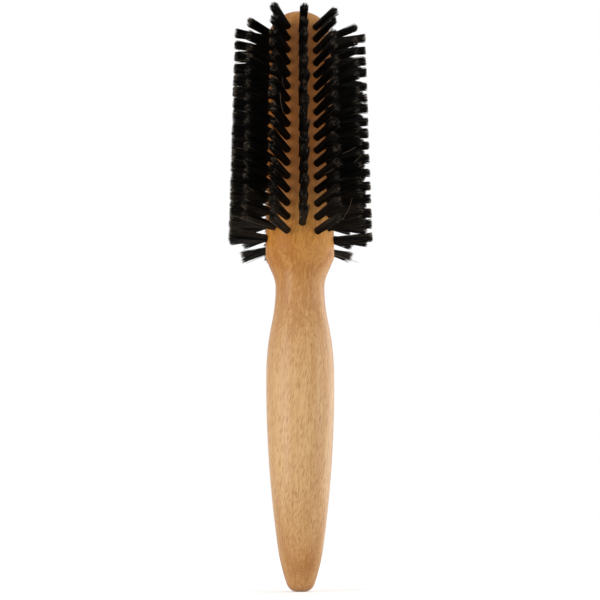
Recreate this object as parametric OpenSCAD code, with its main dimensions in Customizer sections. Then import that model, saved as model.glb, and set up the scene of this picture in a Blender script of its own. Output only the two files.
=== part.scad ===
// Round barrel hair brush. One turned beech body carries the handle and the
// barrel. Bristle tufts stand in blind holes drilled round the barrel, in
// straight rows with every other row set back by half a step. Each tuft is a
// bundle folded over a flat metal anchor that bites into the walls of its hole.
//
// Millimetres. Z is the axis of the body, from the butt end up to the head.
// The origin is the middle of the butt end. Row 1 of the tufts faces -Y, and
// the rows are numbered from there towards +X.

/* [Handle] */
// Height of the rounding at the butt end
butt_round_z = 2.4; // [1.8:0.1:3.5]
// Diameter just above that rounding
butt_d = 9.8; // [9:0.1:12]
// Height at which the blunt end runs into the long taper
taper_z = 14; // [10:0.5:18]
// Diameter there
taper_d = 16.1; // [14:0.1:18]
// Height of the thickest point of the handle
belly_z = 79; // [70:0.5:86]
// Diameter of the handle at its thickest
belly_d = 26.1; // [24:0.1:30]
// Height of the neck
neck_z = 113.2; // [104:0.2:124]
// Diameter of the neck
neck_d = 19.4; // [17:0.1:22]
// Share of the way from belly to neck that bulges out before the hollow starts
bulge_share = 0.58; // [0.4:0.02:0.8]
// Radius of the hollow between neck and shoulder
neck_bend = 17; // [12:0.5:24]
// Slope of the shoulder from the axis, in degrees
shoulder_slope = 23; // [18:0.5:32]
// Rounding where the shoulder meets the barrel
shoulder_round = 5; // [2:0.5:8]

/* [Barrel] */
// Diameter of the wooden barrel
barrel_d = 27.6; // [26:0.1:32]
// Rounding of the barrel's end
head_round = 9; // [5:0.5:11]
// Bare wood from the top of the shoulder to the lowest ring of holes
bare_below = 6.8; // [4:0.1:12]
// Wood from the highest ring of holes to the end of the head
bare_above = 11.4; // [10:0.1:16]

/* [Bristles] */
// Diameter over the bristle tips
brush_d = 59.4; // [50:0.1:66]
// Length of the brushing zone, from the lowest ring of holes to the highest
zone_len = 93.3; // [80:0.1:110]
// Number of rows of tufts round the barrel
rows = 14; // [12:2:16]
// Number of tufts in each full row
row_tufts = 17; // [14:1:19]
// Diameter of a tuft
tuft_d = 2.9; // [2.4:0.1:3.4]
// Depth of the blind holes
hole_depth = 5.5; // [4.5:0.1:6.2]
// Gap between a tuft and the rim of its hole
tuft_gap = 0.05; // [0.02:0.01:0.1]

/* [Anchors] */
// Thickness of the flat anchor
anchor_t = 0.2; // [0.15:0.01:0.25]
// Height of the anchor along the tuft
anchor_h = 0.9; // [0.7:0.05:1.0]
// How far each end of the anchor bites into the wood
anchor_bite = 0.2; // [0.1:0.01:0.3]
// Thickness of the bristle fold under the anchor
fold_t = 0.9; // [0.6:0.05:1.3]

/* [Hidden] */
wood_colour = "#c99a60";
bristle_colour = "#16130f";
anchor_colour = "#b9b4a6";

barrel_r = barrel_d / 2;
row_step = 360 / rows;
ring_step = zone_len / (row_tufts - 1);
first_row_turn = -90;

// Shoulder: the neck's hollow ends, a straight slope follows, then the barrel
hollow_end = [
    neck_d / 2 + neck_bend * (1 - cos(shoulder_slope)),
    neck_z + neck_bend * sin(shoulder_slope)
];
shoulder_z = hollow_end[1] + (barrel_r - hollow_end[0]) / tan(shoulder_slope);
shoulder_trim = shoulder_round * tan(shoulder_slope / 2);

lowest_ring_z = shoulder_z + bare_below;
highest_ring_z = lowest_ring_z + zone_len;
head_z = highest_ring_z + bare_above;

// Holes and tufts, measured out from the axis of the body
hole_floor_r = barrel_r - hole_depth;
tip_r = brush_d / 2;
hole_d = tuft_d + 2 * tuft_gap;
anchor_floor_r = hole_floor_r + fold_t;
anchor_len = hole_d + 2 * anchor_bite;
hole_overrun = 3;

function row_label(row) = str(row < 9 ? "0" : "", row + 1);
function tuft_row_name(row) = str("tuft_row_", row_label(row));
function anchor_row_name(row) = str("anchor_row_", row_label(row));

// Heights of the holes in a row: full rows start at the lowest ring, and the
// rows between them have one tuft less and sit half a step higher
function is_full(row) = row % 2 == 1;
function ring_heights(row) =
    let (count = is_full(row) ? row_tufts : row_tufts - 1)
    let (start = lowest_ring_z + (is_full(row) ? 0 : ring_step / 2))
    [for (ring = [0:count - 1]) start + ring * ring_step];

// The outline of the body is a chain of arcs, each tangent to the one before,
// taken from the butt end upwards. A point is [radius, height], and a heading
// is the angle from straight up, positive outwards.
function chord_angle(from, to) = atan2(to[0] - from[0], to[1] - from[1]);
function other_heading(from, to, heading) = 2 * chord_angle(from, to) - heading;
function arc_to(from, heading, to, steps) =
    let (turn = other_heading(from, to, heading) - heading)
    let (radius = norm(to - from) / (2 * sin(turn / 2)))
    [for (i = [1:steps])
        let (h = heading + turn * i / steps)
        from + radius * [cos(heading) - cos(h), sin(h) - sin(heading)]];

// Handle: the headings below the belly are worked out from its upright tangent
belly = [belly_d / 2, belly_z];
neck = [neck_d / 2, neck_z];
taper_end = [taper_d / 2, taper_z];
butt_edge = [butt_d / 2, butt_round_z];
bulge_end = belly + bulge_share * (neck - belly);
bulge_heading = other_heading(belly, bulge_end, 0);
taper_heading = other_heading(taper_end, belly, 0);
butt_heading = other_heading(butt_edge, taper_end, taper_heading);
butt_radius = butt_round_z / (1 - sin(butt_heading));
butt_flat = [butt_edge[0] - butt_radius * cos(butt_heading), 0];

// Shoulder and head
shoulder = [barrel_r, shoulder_z];
slope_end = shoulder - shoulder_trim * [sin(shoulder_slope), cos(shoulder_slope)];
barrel_start = shoulder + [0, shoulder_trim];
head_start = [barrel_r, head_z - head_round];
head_flat = [barrel_r - head_round, head_z];

handle_outline = concat(
    [[0, 0], butt_flat],
    arc_to(butt_flat, 90, butt_edge, 8),
    arc_to(butt_edge, butt_heading, taper_end, 10),
    arc_to(taper_end, taper_heading, belly, 24),
    arc_to(belly, 0, bulge_end, 14),
    arc_to(bulge_end, bulge_heading, neck, 12),
    arc_to(neck, 0, hollow_end, 12)
);
barrel_outline = concat(
    [slope_end],
    arc_to(slope_end, shoulder_slope, barrel_start, 6),
    [head_start],
    arc_to(head_start, 0, head_flat, 16),
    [[0, head_z]]
);

// Puts its children at every hole of a row, with local X out along the tuft
module at_each_hole(row) {
    rotate([0, 0, first_row_turn + row * row_step])
        for (z = ring_heights(row))
            translate([0, 0, z])
                children();
}

module hole_shape() {
    translate([hole_floor_r, 0, 0])
        rotate([0, 90, 0])
            cylinder(h = hole_depth + hole_overrun, d = hole_d, $fn = 32);
}

module tuft_shape() {
    translate([hole_floor_r, 0, 0])
        rotate([0, 90, 0])
            cylinder(h = tip_r - hole_floor_r, d = tuft_d, $fn = 32);
}

module anchor_shape() {
    translate([anchor_floor_r, -anchor_len / 2, -anchor_t / 2])
        cube([anchor_h, anchor_len, anchor_t]);
}

// Turned wooden body with its blind holes and the slits that the anchors bite
module brush_body() {
    color(wood_colour)
        difference() {
            rotate_extrude($fn = 96)
                polygon(concat(handle_outline, barrel_outline));
            for (row = [0:rows - 1])
                at_each_hole(row) {
                    hole_shape();
                    anchor_shape();
                }
        }
}

// One row of bristle bundles, each slotted where its anchor passes through
module tuft_row(row) {
    color(bristle_colour)
        at_each_hole(row)
            difference() {
                tuft_shape();
                anchor_shape();
            }
}

// The flat anchors that hold one row of tufts
module anchor_row(row) {
    color(anchor_colour)
        at_each_hole(row)
            anchor_shape();
}

brush_body();
for (row = [0:rows - 1]) {
    tuft_row(row);
    anchor_row(row);
}
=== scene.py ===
"""Round barrel hair brush: the looks of a turned beech body and its bristle tufts.

Laid out as an add-on, and run as a script. Sizes and colours are property
groups, each group of pieces has an operator, and a panel lists them all.
Lengths are metres in the frame of the solids: Z is the axis of the brush, up
from the butt end, row 1 of the tufts faces -Y and the rows count towards +X.
"""

import math

import bmesh
import bpy
from bpy.props import FloatProperty, FloatVectorProperty, IntProperty, PointerProperty
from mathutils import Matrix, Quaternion, Vector


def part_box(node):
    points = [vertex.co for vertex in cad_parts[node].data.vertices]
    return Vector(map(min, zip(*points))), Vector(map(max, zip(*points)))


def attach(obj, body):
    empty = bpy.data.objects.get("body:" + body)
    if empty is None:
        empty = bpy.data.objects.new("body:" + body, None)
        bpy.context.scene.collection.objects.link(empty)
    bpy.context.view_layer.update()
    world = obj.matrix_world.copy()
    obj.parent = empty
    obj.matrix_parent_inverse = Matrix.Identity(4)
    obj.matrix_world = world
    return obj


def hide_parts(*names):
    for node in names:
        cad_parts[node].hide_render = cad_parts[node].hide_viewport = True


bl_info = {
    "name": "Round Barrel Brush",
    "version": (1, 0, 0),
    "blender": (4, 5, 0),
    "location": "View3D > Sidebar > Brush",
    "description": "Makes a turned beech hair brush with rows of bristle tufts",
    "category": "Object",
}

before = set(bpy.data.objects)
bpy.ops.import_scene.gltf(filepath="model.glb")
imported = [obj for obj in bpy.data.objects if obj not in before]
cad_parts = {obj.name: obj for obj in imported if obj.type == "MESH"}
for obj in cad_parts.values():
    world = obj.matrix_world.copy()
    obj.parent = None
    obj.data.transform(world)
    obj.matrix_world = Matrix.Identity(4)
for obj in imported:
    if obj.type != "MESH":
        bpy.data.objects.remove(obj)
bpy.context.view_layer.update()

BODY = "root"
TUFT_NODES = sorted(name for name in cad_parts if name.startswith("tuft_row_"))
ANCHOR_NODES = sorted(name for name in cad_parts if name.startswith("anchor_row_"))

# What the solids say: row 1 faces -Y, and row 2 is a full row that starts at
# the lowest ring of holes
WOOD_LOW, WOOD_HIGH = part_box("brush_body")
FRONT_LOW, FRONT_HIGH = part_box(TUFT_NODES[0])
FULL_LOW, FULL_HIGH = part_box(TUFT_NODES[1])
TUFT_RADIUS = (FRONT_HIGH.x - FRONT_LOW.x) / 2
TIP_RADIUS = -FRONT_LOW.y
FLOOR_RADIUS = -FRONT_HIGH.y
LOWEST_RING = FULL_LOW.z + TUFT_RADIUS
HIGHEST_RING = FULL_HIGH.z - TUFT_RADIUS
HEAD_Z = WOOD_HIGH.z

FIRST_ROW_TURN = -math.pi / 2
ROW_STEP = 2 * math.pi / len(TUFT_NODES)
GOLDEN_ANGLE = math.pi * (3 - math.sqrt(5))

MM = 0.001
DISPLAY_WHITE = 255

# Edges of the wood that turn by more than this stay sharp
SHARP_ANGLE = math.radians(35)

# How far outside the barrel the drills start, and the flats round each one
DRILL_OVERRUN = 3 * MM
DRILL_SIDES = 28

# A row draws fewer random values than this for one tuft or bristle
DRAWS = 20

# Sizes of a tuft that its node tree takes as they are set
TUFT_SETTINGS = (
    "flare",
    "fan",
    "worn_side",
    "parting",
    "lean",
    "sway",
    "wander",
    "clump",
    "ragged",
    "slant",
    "uneven",
    "trim",
    "strays",
    "stray_reach",
)
# Attributes of the bristles that nothing reads once they have grown
GROWING_ATTRIBUTES = ("tuft", "mouth", "number", "section")

# Heights between which the look of the wood changes
DEEP_BUTT = (3 * MM, 42 * MM)
DEEP_NECK = (60 * MM, 130 * MM)
WARM_NECK = (106 * MM, 130 * MM)
COAT_END = (104 * MM, 126 * MM)

# A dark mark in the wood, with the radii between which it fades
MARK = (2 * MM, -8 * MM, 9.5 * MM)
MARK_EDGE = (1 * MM, 6.5 * MM)

# Heart of the tree, behind the handle, and the width of its rings
HEART = (6 * MM, 40 * MM, 0)
RING_WIDTH = 2.1 * MM

# Place of each soft box, and its width and height
SOFT_BOXES = {
    "left_light": ((-0.64, -0.4, 0.12), (0.4, 0.7)),
    "right_light": ((0.69, -0.3, 0.15), (0.4, 0.7)),
    "edge_light": ((0.63, 0.29, 0.1), (0.6, 0.7)),
}
# Half the width of the floor, and how far from the brush it fades to white
FLOOR_REACH = 3.0
FLOOR_FADE = (0.05, 0.4)


def display_colour(red, green, blue):
    """A linear colour from its display values, 0 to 255."""
    shares = [value / DISPLAY_WHITE for value in (red, green, blue)]
    return tuple(s / 12.92 if s <= 0.04045 else ((s + 0.055) / 1.055) ** 2.4 for s in shares)


# ---------------------------------------------------------------- properties


def length(name, description, millimetres):
    """A length property, with its default in millimetres."""
    return FloatProperty(
        name=name,
        description=description,
        default=millimetres * MM,
        min=0,
        unit="LENGTH",
        subtype="DISTANCE",
    )


def share(name, description, default):
    """A property from 0 to 1."""
    return FloatProperty(
        name=name, description=description, default=default, min=0, max=1, subtype="FACTOR"
    )


def power(name, description, watts):
    """The power of a light."""
    return FloatProperty(name=name, description=description, default=watts, min=0, unit="POWER")


def angle(name, description, degrees):
    """An angle property, with its default in degrees."""
    return FloatProperty(
        name=name,
        description=description,
        default=math.radians(degrees),
        unit="ROTATION",
        subtype="ANGLE",
    )


def colour(name, description, *display):
    """A colour property, with its default in display values."""
    return FloatVectorProperty(
        name=name,
        description=description,
        default=display_colour(*display),
        min=0,
        max=1,
        subtype="COLOR",
    )


class BrushBodySizes(bpy.types.PropertyGroup):
    """Outline of the turned body, from the butt end upwards."""

    butt_round: length("Butt rounding", "Height of the rounding at the butt end", 2.4)
    butt_d: length("Butt diameter", "Diameter just above the butt rounding", 9.8)
    taper_z: length("Taper height", "Height where the blunt end meets the taper", 14)
    taper_d: length("Taper diameter", "Diameter at the taper height", 16.1)
    belly_z: length("Belly height", "Height of the thickest point of the handle", 79)
    belly_d: length("Belly diameter", "Diameter of the handle at its thickest", 26.1)
    neck_z: length("Neck height", "Height of the thinnest point of the neck", 113.2)
    neck_d: length("Neck diameter", "Diameter of the neck", 19.4)
    bulge_share: share("Bulge share", "Share from belly to neck that bulges outwards", 0.58)
    neck_bend: length("Neck bend", "Radius of the hollow above the neck", 17)
    shoulder_slope: angle("Shoulder slope", "Slope of the shoulder from the axis", 23)
    shoulder_round: length("Shoulder rounding", "Rounding where the shoulder ends", 5)
    barrel_d: length("Barrel diameter", "Diameter of the drilled barrel", 27.6)
    head_round: length("Head rounding", "Rounding at the end of the barrel", 9)
    hole_gap: length("Hole gap", "Gap between a tuft and the rim of its hole", 0.05)
    sides: IntProperty(
        name="Sides", description="Number of flats round the turned body", default=144, min=24
    )


class BrushBristleSizes(bpy.types.PropertyGroup):
    """Make of the tufts."""

    full_row: IntProperty(
        name="Tufts in a full row", description="Number of tufts in each full row", default=17
    )
    bristles: IntProperty(
        name="Bristles", description="Number of bristle ends in a tuft", default=150
    )
    bristle_d: length("Bristle diameter", "Diameter of one bristle", 0.25)
    flare: share("Flare", "Widening of a tuft across its row, from wood to tips", 0.2)
    fan: share("Fan", "Most that a tuft widens along its row, from wood to tips", 0.8)
    worn_side: angle("Worn side", "Side of the brush where the tufts have spread most", 200)
    parting: length("Parting", "Gap between the two halves of a tuft at its tips", 0.3)
    lean: share("Lean", "Most that a tuft leans across its row, against its height", 0.028)
    sway: share("Sway", "Most that a tuft leans along its row, against its height", 0.05)
    wander: length("Wander", "Most that one bristle strays from its place at the tip", 0.38)
    clump: length("Clump", "Most that a clump of bristles strays at the tip", 0.3)
    ragged: length("Ragged", "Difference between the shortest and longest bristle", 1.0)
    slant: length("Slant", "Most that one side of a tuft is longer than the other", 0.3)
    uneven: length("Uneven", "Difference between the shortest and longest tuft", 0.15)
    trim: length("Trim", "How much shorter the tufts are cut at the head", 0.3)
    strays: share("Strays", "Share of bristles that bend out of their tuft", 0.001)
    stray_reach: length("Stray reach", "How far such a bristle bends away", 4.5)
    seed: IntProperty(name="Seed", description="Seed of everything random", default=34)


class BrushFinish(bpy.types.PropertyGroup):
    """Colours of the materials."""

    wood_light: colour("Light wood", "Pale bands of the handle", 219, 177, 124)
    wood_dark: colour("Dark wood", "Darker bands of the handle", 206, 160, 106)
    deep_light: colour("Light deep wood", "Pale bands at the butt, neck and head", 198, 143, 80)
    deep_dark: colour("Dark deep wood", "Darker bands at the butt, neck and head", 174, 115, 54)
    # Painted shade between the tufts, darker than the beech itself
    barrel_painted_shade: colour("Barrel painted shade", "Beech between the tufts", 156, 95, 40)
    fleck: colour("Fleck", "Short dark rays in the beech", 162, 106, 54)
    bristle: colour("Bristle", "Dyed bristle", 5, 5, 5)
    # Also the painted light of the lowest rings and the strays, and a painted glint on the tips
    bristle_worn_and_painted_light: colour("Worn bristle and painted light", "Paler bristles and worn tips", 140, 124, 104)
    steel: colour("Steel", "Anchor wire", 184, 180, 170)


class BrushStage(bpy.types.PropertyGroup):
    """Camera, lights and floor."""

    camera_distance: length("Camera distance", "From the camera to its target", 316.7)
    camera_turn: angle("Camera turn", "Turn of the camera round the brush", 4.25)
    camera_rise: angle("Camera rise", "How far the camera looks up", 17.48)
    camera_roll: angle("Camera roll", "Roll of the camera", -0.13)
    target_z: length("Target height", "Height on the axis that the camera looks at", 108.57)
    lens: FloatProperty(
        name="Lens", description="Focal length of the camera", default=48, unit="CAMERA"
    )
    left_light: power("Left light", "Strength of the light at the left", 3.9)
    right_light: power("Right light", "Strength of the light at the right", 1.7)
    edge_light: power("Edge light", "Strength of the light behind the right edge", 2.4)
    sky: share("Sky", "Strength of the light from all round", 0.66)
    near_glow: share("Near glow", "How far the floor is whitened near the brush", 0.36)
    far_glow: share("Far glow", "How far the floor is whitened further away", 0.62)


PROPERTY_GROUPS = {
    "brush_body": BrushBodySizes,
    "brush_bristles": BrushBristleSizes,
    "brush_finish": BrushFinish,
    "brush_stage": BrushStage,
}


# --------------------------------------------------------------- node graphs


def pick(sockets, name):
    """The first usable socket, or the one with that name or number."""
    if isinstance(name, int):
        return sockets[name]
    return next(s for s in sockets if s.enabled and name in (None, s.name))


class Value:
    """A value in a node tree. Arithmetic on it adds Math nodes."""

    def __init__(self, graph, socket):
        self.graph = graph
        self.socket = socket

    def out(self, name):
        """Another output of the same node."""
        return Value(self.graph, pick(self.socket.node.outputs, name))

    def __add__(self, other):
        return self.graph.math("ADD", self, other)

    def __radd__(self, other):
        return self.graph.math("ADD", other, self)

    def __sub__(self, other):
        return self.graph.math("SUBTRACT", self, other)

    def __rsub__(self, other):
        return self.graph.math("SUBTRACT", other, self)

    def __mul__(self, other):
        return self.graph.math("MULTIPLY", self, other)

    def __truediv__(self, other):
        return self.graph.math("DIVIDE", self, other)


class Graph:
    """Adds nodes to one node tree."""

    def __init__(self, tree):
        self.tree = tree

    def add(self, kind, sockets=None, output=None, **settings):
        """Adds a node: its settings first, then the values or links of its sockets."""
        node = self.tree.nodes.new(kind)
        for name, value in settings.items():
            setattr(node, name, value)
        for name, value in (sockets or {}).items():
            self.feed(pick(node.inputs, name), value)
        return Value(self, pick(node.outputs, output)) if node.outputs else node

    def feed(self, socket, value):
        """Links a value to a socket, or writes it there."""
        if isinstance(value, Value):
            self.tree.links.new(value.socket, socket)
        elif socket.type == "RGBA" and len(value) == 3:
            socket.default_value = (*value, 1)
        else:
            socket.default_value = value

    def math(self, operation, *operands):
        return self.add("ShaderNodeMath", dict(enumerate(operands)), operation=operation)

    def vector(self, operation, *operands):
        return self.add("ShaderNodeVectorMath", dict(enumerate(operands)), operation=operation)

    def combine(self, x, y, z):
        return self.add("ShaderNodeCombineXYZ", {"X": x, "Y": y, "Z": z})

    def separate(self, vector):
        parts = self.add("ShaderNodeSeparateXYZ", {"Vector": vector}, "X")
        return parts, parts.out("Y"), parts.out("Z")

    def ramp(self, value, start, end, low=0.0, high=1.0):
        """Low up to start, high from end on, and a smooth change between them."""
        sockets = {"Value": value, "From Min": start, "From Max": end, "To Min": low, "To Max": high}
        return self.add("ShaderNodeMapRange", sockets, interpolation_type="SMOOTHSTEP")

    def mix(self, factor, first, second):
        """A colour between two colours."""
        sockets = {"Factor": factor, "A": first, "B": second}
        return self.add("ShaderNodeMix", sockets, data_type="RGBA")


class GeometryGraph(Graph):
    """A geometry tree with named inputs."""

    KINDS = {
        "number": "NodeSocketFloat",
        "count": "NodeSocketInt",
        "material": "NodeSocketMaterial",
        "geometry": "NodeSocketGeometry",
    }

    def __init__(self, name, **inputs):
        super().__init__(bpy.data.node_groups.new(name, "GeometryNodeTree"))
        for label, kind in inputs.items():
            self.tree.interface.new_socket(label, in_out="INPUT", socket_type=self.KINDS[kind])
        self.tree.interface.new_socket(
            "result", in_out="OUTPUT", socket_type=self.KINDS["geometry"]
        )
        self.inputs = self.tree.nodes.new("NodeGroupInput")

    def input(self, label):
        return Value(self, pick(self.inputs.outputs, label))

    def random(self, low, high, number, salt):
        """A random value for each number, the same on every run."""
        sockets = {"Min": low, "Max": high, "ID": number, "Seed": self.input("seed") + salt}
        return self.add("FunctionNodeRandomValue", sockets)

    def store(self, geometry, name, value, kind="FLOAT"):
        """Stores a value as a named attribute of the geometry's points."""
        sockets = {"Geometry": geometry, "Name": name, "Value": value}
        return self.add("GeometryNodeStoreNamedAttribute", sockets, data_type=kind, domain="POINT")

    def stored(self, name, kind="FLOAT"):
        return self.add("GeometryNodeInputNamedAttribute", {"Name": name}, data_type=kind)

    def close(self, geometry):
        """Ends the tree in plain geometry with its material."""
        plain = self.add("GeometryNodeRealizeInstances", {"Geometry": geometry})
        sockets = {"Geometry": plain, "Material": self.input("material")}
        finished = self.add("GeometryNodeSetMaterial", sockets)
        self.feed(self.tree.nodes.new("NodeGroupOutput").inputs[0], finished)

    def make(self, piece, **values):
        """Runs the tree on a piece and leaves the result as its plain mesh."""
        modifier = piece.modifiers.new("Make", "NODES")
        modifier.node_group = self.tree
        inputs = [i for i in self.tree.interface.items_tree if i.in_out == "INPUT"]
        identifiers = {item.name: item.identifier for item in inputs}
        for label, value in values.items():
            modifier[identifiers[label]] = value
        evaluated = piece.evaluated_get(bpy.context.evaluated_depsgraph_get())
        mesh = bpy.data.meshes.new_from_object(evaluated)
        piece.modifiers.clear()
        piece.data = mesh
        mesh.name = piece.name


def new_piece(name, data=None):
    """A new object at the origin of the frame, with an empty mesh if it is given no data."""
    piece = bpy.data.objects.new(name, data or bpy.data.meshes.new(name))
    bpy.context.scene.collection.objects.link(piece)
    return piece


def hand_over(piece, node):
    """Rides a finished piece on the brush, in place of a solid."""
    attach(piece, BODY)
    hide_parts(node)


# ----------------------------------------------------------------- materials


def new_material(name, **constants):
    """A material whose Principled sockets hold the given constants."""
    material = bpy.data.materials.new(name)
    material.use_nodes = True
    shader = material.node_tree.nodes["Principled BSDF"]
    for socket, value in constants.items():
        shader.inputs[socket.replace("_", " ")].default_value = value
    return material, Graph(material.node_tree), shader


class BeechGraph(Graph):
    """The shader tree of turned beech. Its grain runs up Z; it carries painted light towards +X and
    painted shade towards -X.
    """

    # How steeply the grain and the flecks in it wind about the axis
    GRAIN_SLOPE = 0.05
    FLECK_SLOPE = 0.24

    def __init__(self, tree, finish):
        super().__init__(tree)
        self.finish = finish
        self.place = self.add("ShaderNodeTexCoord", output="Object")
        self.x, self.y, self.z = self.separate(self.place)
        self.steep = self.section(self.GRAIN_SLOPE)
        self.bands = self.grain(4.2, 150)
        self.streaks = self.grain(1.0, 22, 3.0)
        self.mottle = self.grain(1.0, 2.4, 3.0)
        self.fibres = self.grain(0.28, 11)
        rays = self.grain(0.24, 3.2, 0.0, self.section(self.FLECK_SLOPE))
        self.flecks = self.ramp(rays, 0.6, 0.67)
        self.rings = self.growth_rings()
        # Painted light and shade across the body: 0 at -X, where the wood is painted darker, rising
        # to 1 at +X, where it is painted paler
        self.side_painted_light = self.ramp(self.x, -WOOD_HIGH.x, WOOD_HIGH.x)
        self.blotch = (self.mottle - 0.5) * 0.03

    def section(self, slope):
        """Places across the grain, turned about the axis more and more with their height."""
        turn = self.z * (slope / WOOD_HIGH.x)
        sine = self.math("SINE", turn)
        cosine = self.math("COSINE", turn)
        return self.x * cosine + self.y * sine, self.y * cosine - self.x * sine

    def grain(self, width, length, detail=2.0, section=None):
        """Noise drawn out along the grain, as wide and as long as the given millimetres."""
        across, inward = (part / (MM * width) for part in section or self.steep)
        sockets = {
            "Vector": self.combine(across, inward, self.z / (MM * length)),
            "Scale": 1.0,
            "Detail": detail,
            "Roughness": 0.55,
        }
        return self.add("ShaderNodeTexNoise", sockets, 0)

    def growth_rings(self):
        """Wavy rings about the heart of the tree, which lies behind the handle."""
        from_heart = self.vector("DISTANCE", self.combine(*self.steep, 0), HEART).out("Value")
        return self.math("PINGPONG", from_heart / RING_WIDTH + self.bands * 1.5, 1.0)

    def banded(self):
        """Soft bands, thinner streaks and a trace of the rings."""
        figure = self.bands * 0.45 + self.streaks * 0.45 + self.rings * 0.1
        tone = self.ramp(figure, 0.4, 0.6)
        return self.mix(tone, self.finish.wood_light, self.finish.wood_dark)

    def deepened(self, wood):
        """Deeper and mottled at the butt and from the neck up, with painted shade towards -X and
        painted light towards +X.
        """
        shade = self.mottle * 0.45 + self.streaks * 0.4 + self.rings * 0.15
        # Painted shade towards -X and painted light towards +X in the deep wood
        shade = self.ramp(shade - (self.side_painted_light - 0.5) * 0.14, 0.38, 0.62)
        deep = self.mix(shade, self.finish.deep_light, self.finish.deep_dark)
        butt = self.ramp(self.z + self.blotch, *DEEP_BUTT, 0.8, 0.0)
        neck = self.ramp(self.z + self.blotch, *DEEP_NECK)
        return self.mix(self.math("MAXIMUM", butt, neck), wood, deep)

    def marked(self, wood):
        """A dark mark low down on the front of the handle."""
        from_mark = self.vector("DISTANCE", self.place, MARK).out("Value")
        mark = self.ramp(from_mark + self.blotch * 0.15, *MARK_EDGE, 0.75, 0.0)
        return self.mix(mark * self.ramp(self.mottle, 0.3, 0.55), wood, self.finish.deep_dark)

    def painted_barrel_shade(self, wood):
        """Painted shade: darker wood between the tufts, where they shade it."""
        below_head = self.ramp(self.z, HIGHEST_RING - 4 * MM, HIGHEST_RING + 5 * MM, 1.0, 0.0)
        barrel = self.ramp(self.z, LOWEST_RING - 2 * MM, LOWEST_RING + 32 * MM) * below_head
        return self.mix(barrel, wood, self.finish.barrel_painted_shade)

    def tinted_with_painted_light(self, wood):
        """Warmer from the neck up, with painted light round the lowest ring, painted shade towards
        the head, and painted light towards +X with painted shade towards -X.
        """
        warm = self.ramp(self.z + self.blotch * 0.1, *WARM_NECK, 0.0, 0.45)
        # Less warm towards +X, part of the painted light on that side
        warm = warm * (1 - self.side_painted_light * 0.5)
        # Painted light: paler round the lowest ring, more so towards +X
        pale = self.ramp(self.z, LOWEST_RING - 9 * MM, LOWEST_RING) * 0.35
        pale = pale * self.ramp(self.z, LOWEST_RING + 3 * MM, LOWEST_RING + 18 * MM, 1.0, 0.0)
        pale = pale * (0.7 + self.side_painted_light * 0.4)
        # Painted shade: darker towards the head
        head_painted_shade = self.ramp(self.z, HIGHEST_RING - 50 * MM, HIGHEST_RING - 8 * MM, 0.0, 0.22)
        # The gain paints light towards +X and shade towards -X, adds the painted light of the lowest
        # ring and takes off the painted shade of the head
        gain = 0.97 + self.side_painted_light * 0.06 + pale - head_painted_shade
        tint = self.combine(gain, gain * (1 - warm * 0.2), gain * (1 - warm))
        return self.vector("MULTIPLY", wood, tint)

    def flecked(self, wood):
        """Short dark flecks and fine fibres."""
        wood = self.mix(self.flecks * 0.62, wood, self.finish.fleck)
        return self.mix(self.ramp(self.fibres, 0.42, 0.68) * 0.2, wood, self.finish.fleck)


def beech_material(finish):
    """Turned beech, with a thin coat on the handle that ends at the neck."""
    material, _, shader = new_material("beech", Coat_Roughness=0.22, Specular_IOR_Level=0.25)
    graph = BeechGraph(material.node_tree, finish)
    wood = graph.banded()
    for change in (graph.deepened, graph.marked, graph.painted_barrel_shade, graph.tinted_with_painted_light, graph.flecked):
        wood = change(wood)
    graph.feed(shader.inputs["Base Color"], wood)
    graph.feed(shader.inputs["Roughness"], 0.42 + graph.fibres * 0.16)
    graph.feed(shader.inputs["Coat Weight"], graph.ramp(graph.z, *COAT_END, 0.3, 0.0))
    height = graph.fibres * 0.5 - graph.flecks * 0.3
    bump = graph.add("ShaderNodeBump", {"Strength": 0.2, "Distance": 0.04 * MM, "Height": height})
    graph.feed(shader.inputs["Normal"], bump)
    return material


def bristle_material(finish):
    """Dyed bristle: near black, each one a little different, with worn tips, and with painted light
    in the lowest rings, on strays and at the cut tips.
    """
    material, graph, shader = new_material("bristle", Specular_IOR_Level=0.12)
    shade, along, lock, stray = (
        graph.add("ShaderNodeAttribute", output="Fac", attribute_name=name)
        for name in ("shade", "along", "lock", "stray")
    )
    _, _, z = graph.separate(graph.add("ShaderNodeTexCoord", output="Object"))

    # Some bristles and some whole locks have faded tips, which also stand in as a painted glint on
    # their cut ends
    faded_and_glinting = graph.math("MAXIMUM", graph.ramp(shade, 0.87, 0.95), graph.ramp(lock, 0.88, 0.92) * 0.5)
    tip = graph.ramp(along, 0.7, 0.95) * faded_and_glinting

    # Painted light: the bristles of the lowest rings are lighter, in streaks, as if lit from below
    streak = graph.ramp(shade, 0.4, 1.0) * 0.5 + graph.ramp(lock, 0.4, 1.0) * 0.5
    low_painted_light = graph.ramp(z, LOWEST_RING - 2 * MM, LOWEST_RING + 20 * MM, 0.25, 0.03) * streak
    pale = graph.ramp(shade, 0.8, 1.0) * 0.11
    # The worn colour also stands in as a painted highlight along the whole of each stray bristle,
    # and as the painted light of the lowest rings
    worn = graph.math("MAXIMUM", graph.math("MAXIMUM", tip, pale + low_painted_light), stray)
    graph.feed(shader.inputs["Base Color"], graph.mix(worn, finish.bristle, finish.bristle_worn_and_painted_light))
    graph.feed(shader.inputs["Roughness"], 0.36 + shade * 0.25)
    return material


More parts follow.
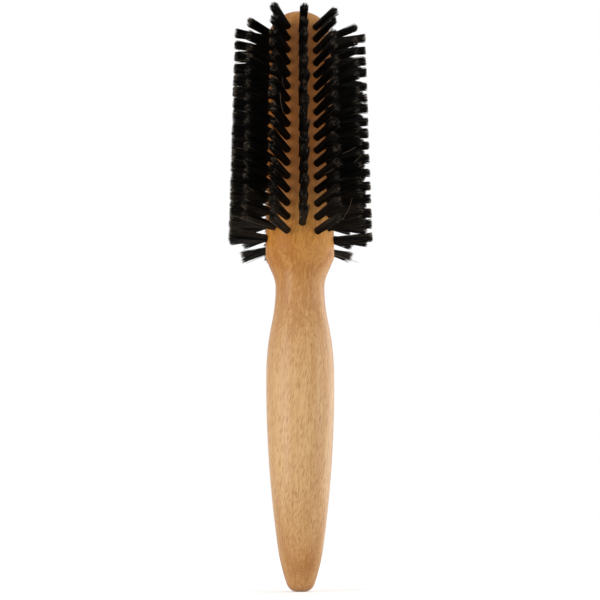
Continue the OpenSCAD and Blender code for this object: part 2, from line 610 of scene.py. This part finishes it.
def steel_material(finish):
    """Drawn wire: a fine grain and dull patches."""
    material, graph, shader = new_material("anchor_steel", Metallic=1.0)
    place = graph.add("ShaderNodeTexCoord", output="Object")
    fine = graph.add("ShaderNodeTexNoise", {"Vector": place, "Scale": 9000, "Detail": 3})
    dull = graph.add("ShaderNodeTexNoise", {"Vector": place, "Scale": 1200, "Detail": 2})
    darker = tuple(channel * 0.6 for channel in finish.steel)
    tint = graph.mix(graph.ramp(dull, 0.4, 0.7), finish.steel, darker)
    graph.feed(shader.inputs["Base Color"], tint)
    graph.feed(shader.inputs["Roughness"], 0.28 + fine * 0.2)
    return material


# ----------------------------------------------------------------- the wood


def chord_heading(start, end):
    """Heading from straight up, positive outwards, of the line between two points."""
    return math.atan2(end.x - start.x, end.y - start.y)


def other_heading(start, end, heading):
    """Heading at the end of an arc that leaves its start with the given heading."""
    return 2 * chord_heading(start, end) - heading


def arc_to(outline, heading, end, steps):
    """Carries an outline on to a point along an arc."""
    start = outline[-1]
    turn = other_heading(start, end, heading) - heading
    radius = (end - start).length / (2 * math.sin(turn / 2))
    for i in range(1, steps + 1):
        now = heading + turn * i / steps
        way = Vector((math.cos(heading) - math.cos(now), math.sin(now) - math.sin(heading)))
        outline.append(start + radius * way)


def line_to(outline, end, steps):
    """Carries an outline on to a point along a straight line."""
    start = outline[-1]
    outline.extend(start.lerp(end, i / steps) for i in range(1, steps + 1))


def body_outline(body):
    """Points (radius, height) up the turned body, a chain of arcs from butt to head."""
    belly = Vector((body.belly_d / 2, body.belly_z))
    neck = Vector((body.neck_d / 2, body.neck_z))
    taper_end = Vector((body.taper_d / 2, body.taper_z))
    butt_edge = Vector((body.butt_d / 2, body.butt_round))
    bulge_end = belly.lerp(neck, body.bulge_share)
    bulge_heading = other_heading(belly, bulge_end, 0)
    taper_heading = other_heading(taper_end, belly, 0)
    butt_heading = other_heading(butt_edge, taper_end, taper_heading)
    butt_radius = body.butt_round / (1 - math.sin(butt_heading))
    butt_flat = Vector((butt_edge.x - butt_radius * math.cos(butt_heading), 0))

    slope = body.shoulder_slope
    barrel = body.barrel_d / 2
    way_out = Vector((1 - math.cos(slope), math.sin(slope)))
    hollow_end = neck + body.neck_bend * way_out
    shoulder_z = hollow_end.y + (barrel - hollow_end.x) / math.tan(slope)
    shoulder = Vector((barrel, shoulder_z))
    trim = body.shoulder_round * math.tan(slope / 2)
    slope_end = shoulder - trim * Vector((math.sin(slope), math.cos(slope)))
    barrel_start = shoulder + Vector((0, trim))
    head_start = Vector((barrel, HEAD_Z - body.head_round))
    head_flat = Vector((barrel - body.head_round, HEAD_Z))

    outline = [Vector((0, 0))]
    line_to(outline, butt_flat, 3)
    arc_to(outline, math.pi / 2, butt_edge, 12)
    arc_to(outline, butt_heading, taper_end, 18)
    arc_to(outline, taper_heading, belly, 44)
    arc_to(outline, 0, bulge_end, 24)
    arc_to(outline, bulge_heading, neck, 16)
    arc_to(outline, 0, hollow_end, 16)
    line_to(outline, slope_end, 5)
    arc_to(outline, slope, barrel_start, 8)
    line_to(outline, head_start, 40)
    arc_to(outline, 0, head_flat, 24)
    line_to(outline, Vector((0, HEAD_Z)), 4)
    return outline


def turned_mesh(name, outline, sides):
    """A closed mesh turned from an outline whose ends lie on the axis."""
    turned = bmesh.new()
    rings = []
    for point in outline[1:-1]:
        turns = [2 * math.pi * i / sides for i in range(sides)]
        ring = [
            turned.verts.new((point.x * math.cos(t), point.x * math.sin(t), point.y)) for t in turns
        ]
        rings.append(ring)
    for low, high in zip(rings, rings[1:]):
        for i in range(sides):
            j = (i + 1) % sides
            turned.faces.new((low[i], low[j], high[j], high[i]))
    butt = turned.verts.new((0, 0, outline[0].y))
    head = turned.verts.new((0, 0, outline[-1].y))
    for i in range(sides):
        j = (i + 1) % sides
        turned.faces.new((butt, rings[0][j], rings[0][i]))
        turned.faces.new((head, rings[-1][i], rings[-1][j]))
    mesh = bpy.data.meshes.new(name)
    turned.to_mesh(mesh)
    turned.free()
    return mesh


def hole_points(graph, first_row, rows, radius):
    """Adds a point for each hole of some rows, at a radius from the axis.

    Rows count from 0. Even ones have one hole less and sit half a step higher.
    """
    full = graph.input("full_row")
    index = graph.add("GeometryNodeInputIndex")
    row = graph.math("FLOOR", index / full) + first_row
    ring = graph.math("MODULO", index, full)
    set_back = 1 - graph.math("MODULO", row, 2)
    turn = row * ROW_STEP + FIRST_ROW_TURN
    height = graph.input("lowest_ring") + (ring + set_back * 0.5) * graph.input("ring_step")
    place = graph.combine(
        graph.math("COSINE", turn) * radius, graph.math("SINE", turn) * radius, height
    )
    points = graph.add("GeometryNodePoints", {"Count": full * rows})
    points = graph.add("GeometryNodeSetPosition", {"Geometry": points, "Position": place})
    past_end = graph.math("GREATER_THAN", ring + set_back, full - 0.5)
    return graph.add("GeometryNodeDeleteGeometry", {"Geometry": points, "Selection": past_end})


def drilling_graph():
    """Drills every hole of every row in the geometry that it is given."""
    graph = GeometryGraph(
        "Drilling",
        wood="geometry",
        rows="count",
        full_row="count",
        lowest_ring="number",
        ring_step="number",
        floor_radius="number",
        outer_radius="number",
        hole_radius="number",
        material="material",
    )
    floor_radius = graph.input("floor_radius")
    outer_radius = graph.input("outer_radius")
    points = hole_points(graph, 0, graph.input("rows"), (floor_radius + outer_radius) * 0.5)
    x, y, _ = graph.separate(graph.add("GeometryNodeInputPosition"))
    bit = graph.add(
        "GeometryNodeMeshCylinder",
        {
            "Vertices": DRILL_SIDES,
            "Radius": graph.input("hole_radius"),
            "Depth": outer_radius - floor_radius,
        },
    )
    drills = graph.add(
        "GeometryNodeInstanceOnPoints",
        {
            "Points": points,
            "Instance": bit,
            "Rotation": graph.combine(0, math.pi / 2, graph.math("ARCTAN2", y, x)),
        },
    )
    drills = graph.add("GeometryNodeRealizeInstances", {"Geometry": drills})
    drilled = graph.add(
        "GeometryNodeMeshBoolean",
        {"Mesh 1": graph.input("wood"), "Mesh 2": drills},
        operation="DIFFERENCE",
        solver="EXACT",
    )
    graph.close(drilled)
    return graph


def ring_step(bristles):
    """Distance between neighbouring holes in a row."""
    return (HIGHEST_RING - LOWEST_RING) / (bristles.full_row - 1)


class BRUSH_OT_turn_body(bpy.types.Operator):
    """Turn the beech body and drill its holes"""

    bl_idname = "brush.turn_body"
    bl_label = "Turn Body"

    def execute(self, context):
        body = context.scene.brush_body
        bristles = context.scene.brush_bristles
        mesh = turned_mesh("beech_body", body_outline(body), body.sides)
        piece = new_piece("beech_body", mesh)
        drilling_graph().make(
            piece,
            rows=len(TUFT_NODES),
            full_row=bristles.full_row,
            lowest_ring=LOWEST_RING,
            ring_step=ring_step(bristles),
            floor_radius=FLOOR_RADIUS,
            outer_radius=body.barrel_d / 2 + DRILL_OVERRUN,
            hole_radius=TUFT_RADIUS + body.hole_gap,
            material=beech_material(context.scene.brush_finish),
        )
        piece.data.shade_smooth()
        piece.data.set_sharp_from_angle(angle=SHARP_ANGLE)
        hand_over(piece, "brush_body")
        return {"FINISHED"}


# -------------------------------------------------------------- the bristles


class BristleGraph(GeometryGraph):
    """The node tree of one row of tufts, each a bundle of separate bristles.

    A bristle is a thin rod whose points carry how far along it they are and
    where they lie in its section. Its own number picks its place in the tuft.
    Its points go by three lengths: out from the axis of the brush, to one side
    across the row, and rising along the row.
    """

    # Flats round a bristle, and segments along it. The first one is in the wood
    SIDES = 3
    SEGMENTS = 5
    # A clump is a slice of one radian of its tuft, and is parted into locks
    CLUMPS = 7
    LOCKS = 3

    def __init__(self):
        counts = ("row", "full_row", "bristles", "seed")
        numbers = (
            "lowest_ring",
            "ring_step",
            "floor_radius",
            "mouth_radius",
            "tip_radius",
            "tuft_radius",
            "bristle_radius",
            *TUFT_SETTINGS,
        )
        super().__init__(
            "Bristle row",
            **dict.fromkeys(counts, "count"),
            **dict.fromkeys(numbers, "number"),
            material="material",
        )
        self.tuft = self.stored("tuft", "INT")
        self.number = self.stored("number", "INT")
        self.bristle = self.tuft * self.input("bristles") + self.number
        self.mouth = self.input("mouth_radius")
        self.mouth_x, self.mouth_y, self.mouth_z = self.separate(
            self.stored("mouth", "FLOAT_VECTOR")
        )
        self.section_x, self.section_y, section_z = self.separate(
            self.stored("section", "FLOAT_VECTOR")
        )

        # Shares of the whole bristle, of its part in the wood and of what stands out
        wood_share = 1 / self.SEGMENTS
        self.along = section_z + 0.5
        self.buried = self.math("MINIMUM", self.along / wood_share, 1.0)
        step = self.math("MAXIMUM", (self.along - wood_share) / (1 - wood_share), 0.0)
        self.standing = step * (2 - step)
        self.bend = self.standing * self.standing

        # Height of the tuft, from 0 at the lowest ring to 1 at the highest, and how
        # far it stands out of the wood
        zone = self.input("ring_step") * (self.input("full_row") - 1)
        self.up_zone = (self.mouth_z - self.input("lowest_ring")) / zone
        self.stand = self.input("tip_radius") - self.mouth - self.input("trim") * self.up_zone

        # Place in the tuft: even all over its round section, turned in each tuft
        self.reach = self.math("SQRT", (self.number + 0.5) / self.input("bristles"))
        self.turn = self.number * GOLDEN_ANGLE + self.random(0.0, 2 * math.pi, self.tuft, 1)
        slice_number = self.math("FLOOR", self.math("MODULO", self.turn, 2 * math.pi))
        self.clump = self.tuft * self.CLUMPS + slice_number
        self.lock = self.clump * self.LOCKS + self.math("FLOOR", self.reach * self.LOCKS)
        chance = self.random(0.0, 1.0, self.bristle, 2)
        self.stray = self.math("LESS_THAN", chance, self.input("strays"))

    def rods(self):
        """A rod for each bristle, made of copies of the one point of its tuft."""
        points = hole_points(self, self.input("row"), 1, self.mouth)
        points = self.store(points, "tuft", self.add("GeometryNodeInputIndex"), "INT")
        position = self.add("GeometryNodeInputPosition")
        points = self.store(points, "mouth", position, "FLOAT_VECTOR")
        copies = self.add(
            "GeometryNodeDuplicateElements",
            {"Geometry": points, "Amount": self.input("bristles")},
            domain="POINT",
        )
        copies = self.store(copies, "number", copies.out("Duplicate Index"), "INT")
        rod = self.add(
            "GeometryNodeMeshCylinder",
            {
                "Vertices": self.SIDES,
                "Side Segments": self.SEGMENTS,
                "Radius": 1.0,
                "Depth": 1.0,
            },
        )
        rod = self.store(rod, "section", position, "FLOAT_VECTOR")
        rods = self.add("GeometryNodeInstanceOnPoints", {"Points": copies, "Instance": rod})
        return self.add("GeometryNodeRealizeInstances", {"Geometry": rods})

    def looseness(self):
        """How far a tuft has spread: most on the worn side, and least near the head."""
        worn_x = self.math("COSINE", self.input("worn_side")) / self.mouth
        worn_y = self.math("SINE", self.input("worn_side")) / self.mouth
        worn = 0.5 + (self.mouth_x * worn_x + self.mouth_y * worn_y) * 0.5
        loose = (0.15 + worn * 0.85) * self.random(0.6, 1.0, self.tuft, 15)
        return loose * self.ramp(self.up_zone, 0.7, 1.0, 1.0, 0.5)

    def bundled(self):
        """Side and rise in a straight bundle that widens towards its tips."""
        spread = self.input("tuft_radius") * self.reach
        flare = self.input("flare") * self.standing
        fan = self.input("fan") * self.looseness() * self.standing * (2 - self.standing)
        side = self.math("COSINE", self.turn) * spread * (1 + flare)
        rise = self.math("SINE", self.turn) * spread * (1 + fan)
        return side, rise

    def leaned(self, side, rise):
        """Parts the tuft in two halves, then leans and bends it as one."""
        parting = self.input("parting") * 0.5 * self.random(0.0, 1.0, self.tuft, 11)
        rise = rise + self.math("SIGN", rise) * parting * self.bend
        lean = self.input("lean") * self.stand
        sway = self.input("sway") * self.stand
        side = side + self.random(-1.0, 1.0, self.tuft, 3) * lean * self.standing
        rise = rise + self.random(-1.0, 1.0, self.tuft, 4) * sway * self.standing
        side = side + self.random(-0.5, 0.5, self.tuft, 5) * lean * self.bend
        rise = rise + self.random(-0.5, 0.5, self.tuft, 6) * sway * self.bend
        return side, rise

    def frayed(self, side, rise):
        """Lets clumps and single bristles stray towards their tips, most in the lowest ring."""
        fray = self.bend * self.ramp(self.up_zone, 0.0, 0.12, 2.0, 1.0)
        astray = self.input("clump") * fray
        side = side + self.random(-1.0, 1.0, self.clump, 13) * astray
        rise = rise + self.random(-1.0, 1.0, self.clump, 14) * astray
        wander = (self.input("wander") + self.stray * self.input("stray_reach")) * fray
        side = side + self.random(-1.0, 1.0, self.bristle, 7) * wander
        rise = rise + self.random(-1.0, 1.0, self.bristle, 8) * wander
        return side, rise

    def cut(self):
        """How much shorter each bristle is cut. Most keep nearly their full length."""
        shortness = self.random(0.0, 1.0, self.bristle, 9)
        ragged = shortness * shortness * self.input("ragged")
        uneven = self.random(0.0, 1.0, self.tuft, 12) * self.input("uneven")
        higher = self.math("SINE", self.turn) * self.reach * self.random(-1.0, 1.0, self.tuft, 16)
        slant = (1 + higher) * 0.5 * self.input("slant")
        crown = self.reach * self.reach * (0.1 * MM) + self.stray * self.input("uneven")
        return ragged + uneven + slant + crown

    def shaped(self, rods, side, rise):
        """Moves the points of the rods, so that their tips end on a round crown."""
        floor = self.input("floor_radius")
        out = floor + (self.mouth - floor) * self.buried
        out = out + (self.stand - self.cut()) * self.standing
        round_off = out / self.math("SQRT", out * out + side * side)
        point = self.math("GREATER_THAN", self.along, 0.99)
        thickness = self.input("bristle_radius") * (1 - self.bend * 0.3) * (1 - point * 0.6)
        out = out * round_off
        side = (side + self.section_x * thickness) * round_off
        rise = rise + self.section_y * thickness
        out_x = self.mouth_x / self.mouth
        out_y = self.mouth_y / self.mouth
        place = self.combine(
            out_x * out - out_y * side, out_y * out + out_x * side, self.mouth_z + rise
        )
        return self.add("GeometryNodeSetPosition", {"Geometry": rods, "Position": place})


def bristle_graph():
    """Grows one row of tufts and stores what their material reads."""
    graph = BristleGraph()
    side, rise = graph.bundled()
    side, rise = graph.leaned(side, rise)
    side, rise = graph.frayed(side, rise)
    grown = graph.shaped(graph.rods(), side, rise)
    grown = graph.store(grown, "along", graph.along)
    grown = graph.store(grown, "shade", graph.random(0.0, 1.0, graph.bristle, 10))
    grown = graph.store(grown, "lock", graph.random(0.0, 1.0, graph.lock, 17))
    grown = graph.store(grown, "stray", graph.stray)
    graph.close(grown)
    return graph


class BRUSH_OT_set_bristles(bpy.types.Operator):
    """Set a tuft of bristles in every hole, one piece for each row"""

    bl_idname = "brush.set_bristles"
    bl_label = "Set Bristles"

    def execute(self, context):
        body = context.scene.brush_body
        bristles = context.scene.brush_bristles
        settings = {name: getattr(bristles, name) for name in TUFT_SETTINGS}
        graph = bristle_graph()
        material = bristle_material(context.scene.brush_finish)
        for row, node in enumerate(TUFT_NODES):
            piece = new_piece(node.replace("tuft", "bristle"))
            graph.make(
                piece,
                row=row,
                full_row=bristles.full_row,
                bristles=bristles.bristles,
                seed=(bristles.seed * len(TUFT_NODES) + row) * DRAWS,
                lowest_ring=LOWEST_RING,
                ring_step=ring_step(bristles),
                floor_radius=FLOOR_RADIUS,
                mouth_radius=body.barrel_d / 2,
                tip_radius=TIP_RADIUS,
                tuft_radius=TUFT_RADIUS + body.hole_gap - bristles.bristle_d / 2,
                bristle_radius=bristles.bristle_d / 2,
                material=material,
                **settings,
            )
            for name in GROWING_ATTRIBUTES:
                piece.data.attributes.remove(piece.data.attributes[name])
            piece.data.shade_smooth()
            hand_over(piece, node)
        return {"FINISHED"}


class BRUSH_OT_finish_anchors(bpy.types.Operator):
    """Give the anchors in the holes their steel"""

    bl_idname = "brush.finish_anchors"
    bl_label = "Finish Anchors"

    def execute(self, context):
        material = steel_material(context.scene.brush_finish)
        for node in ANCHOR_NODES:
            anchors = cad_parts[node]
            anchors.data.materials.clear()
            anchors.data.materials.append(material)
        return {"FINISHED"}


# ----------------------------------------------------------------- the stage


def aim(thing, target, roll=0.0):
    """Turns a camera or light towards a point."""
    way = (target - thing.location).to_track_quat("-Z", "Y")
    thing.rotation_mode = "QUATERNION"
    thing.rotation_quaternion = way @ Quaternion((0, 0, 1), roll)


def add_camera(stage):
    """A camera in front of the brush, low down and looking up along it."""
    target = Vector((0, 0, stage.target_z))
    reach = math.cos(stage.camera_rise)
    back = Vector(
        (
            -math.sin(stage.camera_turn) * reach,
            -math.cos(stage.camera_turn) * reach,
            -math.sin(stage.camera_rise),
        )
    )
    data = bpy.data.cameras.new("camera")
    data.lens = stage.lens
    data.sensor_width = 36
    data.clip_start = 0.01
    camera = new_piece("camera", data)
    camera.location = target + back * stage.camera_distance
    aim(camera, target, stage.camera_roll)
    bpy.context.scene.camera = camera


def add_light(name, watts, place, size):
    """A soft box that faces the middle of the brush."""
    data = bpy.data.lights.new(name, "AREA")
    data.shape = "RECTANGLE"
    data.size, data.size_y = size
    data.energy = watts
    light = new_piece(name, data)
    light.location = place
    aim(light, Vector((0, 0, HEAD_Z / 2)))


def seen_directly(graph):
    """1 for what the camera sees, in a mirror or through glass too, and 0 for light."""
    path = graph.add("ShaderNodeLightPath", output="Is Camera Ray")
    seen = graph.math("MAXIMUM", path, path.out("Is Glossy Ray"))
    return graph.math("MAXIMUM", seen, path.out("Is Transmission Ray"))


def set_sky(stage):
    """White where it is seen, and a softer light on the brush."""
    world = bpy.data.worlds.new("sky")
    world.use_nodes = True
    bpy.context.scene.world = world
    graph = Graph(world.node_tree)
    background = world.node_tree.nodes["Background"]
    background.inputs["Color"].default_value = (1, 1, 1, 1)
    strength = stage.sky + seen_directly(graph) * (1 - stage.sky)
    graph.feed(background.inputs["Strength"], strength)


def add_floor(stage):
    """A plain pale floor that fades to white and keeps the shadow near the brush."""
    quarters = [(-1, -1), (1, -1), (1, 1), (-1, 1)]
    corners = [(x * FLOOR_REACH, y * FLOOR_REACH, WOOD_LOW.z) for x, y in quarters]
    mesh = bpy.data.meshes.new("floor")
    mesh.from_pydata(corners, [], [range(len(corners))])
    material, graph, shader = new_material("floor", Roughness=0.9, Specular_IOR_Level=0.0)
    shader.inputs["Base Color"].default_value = (0.82, 0.82, 0.82, 1)
    shader.inputs["Emission Strength"].default_value = 1.0
    away = graph.vector("LENGTH", graph.add("ShaderNodeTexCoord", output="Object"))
    glow = graph.ramp(away.out("Value"), *FLOOR_FADE, stage.near_glow, stage.far_glow)
    glow = glow * seen_directly(graph)
    graph.feed(shader.inputs["Emission Color"], graph.combine(glow, glow, glow))
    mesh.materials.append(material)
    new_piece("floor", mesh)


class BRUSH_OT_set_stage(bpy.types.Operator):
    """Set the floor, the lights and the camera"""

    bl_idname = "brush.set_stage"
    bl_label = "Set Stage"

    def execute(self, context):
        stage = context.scene.brush_stage
        add_floor(stage)
        set_sky(stage)
        for name, (place, size) in SOFT_BOXES.items():
            add_light(name, getattr(stage, name), place, size)
        add_camera(stage)
        context.scene.view_settings.view_transform = "Standard"
        return {"FINISHED"}


# -------------------------------------------------------------------- add-on


class BRUSH_PT_panel(bpy.types.Panel):
    """Steps and sizes of the brush"""

    bl_idname = "BRUSH_PT_panel"
    bl_label = "Round Barrel Brush"
    bl_space_type = "VIEW_3D"
    bl_region_type = "UI"
    bl_category = "Brush"

    def draw(self, context):
        for operator in OPERATORS:
            self.layout.operator(operator.bl_idname)
        for name, group in PROPERTY_GROUPS.items():
            box = self.layout.box()
            box.label(text=group.__doc__)
            for field in group.__annotations__:
                box.prop(getattr(context.scene, name), field)


OPERATORS = (
    BRUSH_OT_turn_body,
    BRUSH_OT_set_bristles,
    BRUSH_OT_finish_anchors,
    BRUSH_OT_set_stage,
)


def register():
    for group in PROPERTY_GROUPS.values():
        bpy.utils.register_class(group)
    for name, group in PROPERTY_GROUPS.items():
        setattr(bpy.types.Scene, name, PointerProperty(type=group))
    for operator in OPERATORS:
        bpy.utils.register_class(operator)
    bpy.utils.register_class(BRUSH_PT_panel)


def unregister():
    bpy.utils.unregister_class(BRUSH_PT_panel)
    for operator in reversed(OPERATORS):
        bpy.utils.unregister_class(operator)
    for name in PROPERTY_GROUPS:
        delattr(bpy.types.Scene, name)
    for group in reversed(PROPERTY_GROUPS.values()):
        bpy.utils.unregister_class(group)


def main():
    register()
    bpy.ops.brush.turn_body()
    bpy.ops.brush.set_bristles()
    bpy.ops.brush.finish_anchors()
    bpy.ops.brush.set_stage()


if __name__ == "__main__":
    main()
